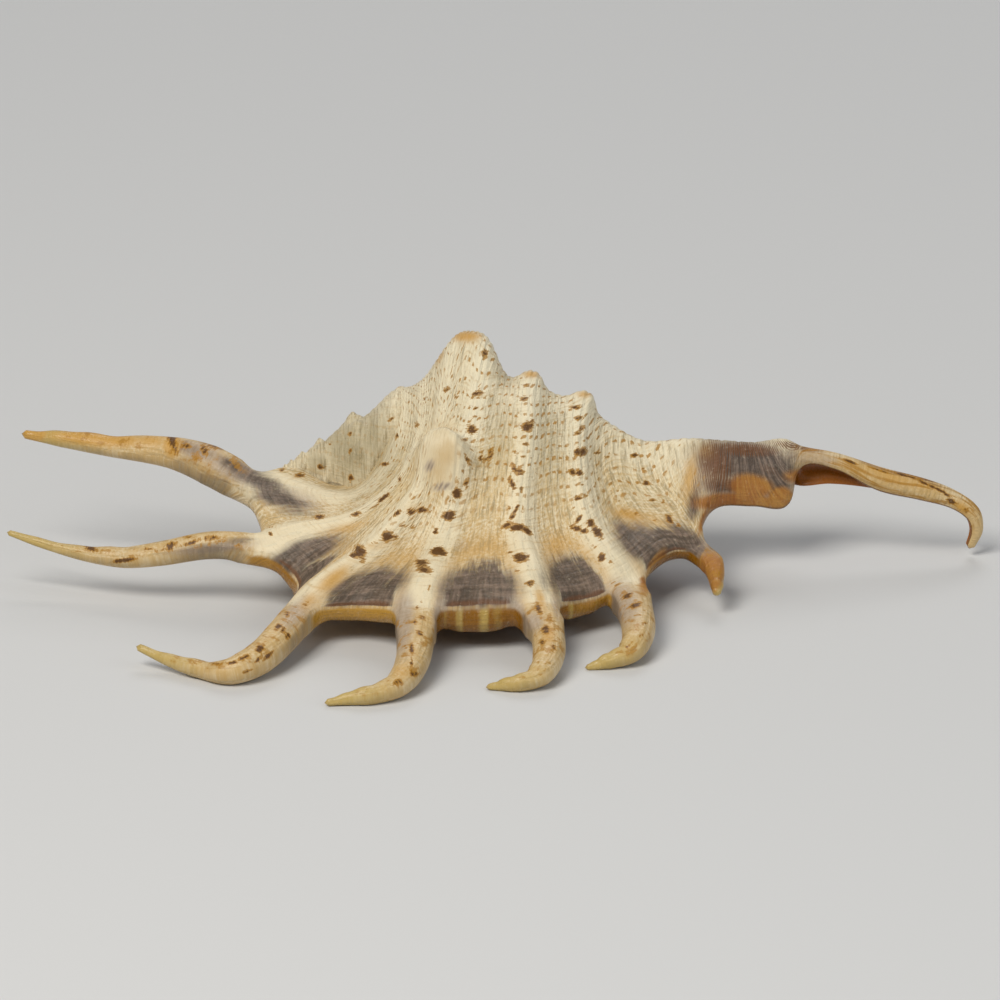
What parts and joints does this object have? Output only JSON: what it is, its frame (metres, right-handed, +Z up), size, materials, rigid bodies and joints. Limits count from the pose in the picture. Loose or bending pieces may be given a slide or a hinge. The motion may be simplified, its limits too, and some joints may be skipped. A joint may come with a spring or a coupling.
{
  "type": "spider conch shell",
  "caption": "Sea snail shell with a low spire, a knobbed last whorl, a flared lip with hooked fingers and a curved canal; lies with its opening down.",
  "frame": {"origin": "centre of the box round the shell, at the level of the floor it rests on", "axes": "+X along the coil's axis from the spire to the canal, -Y towards the lip and its fingers, +Z up"},
  "size_m": [0.1402, 0.076, 0.0327],
  "materials": {
    "shell": "satin"
  },
  "bodies": {
    "root": {"shell": "shell"}
  },
  "joints": []
}
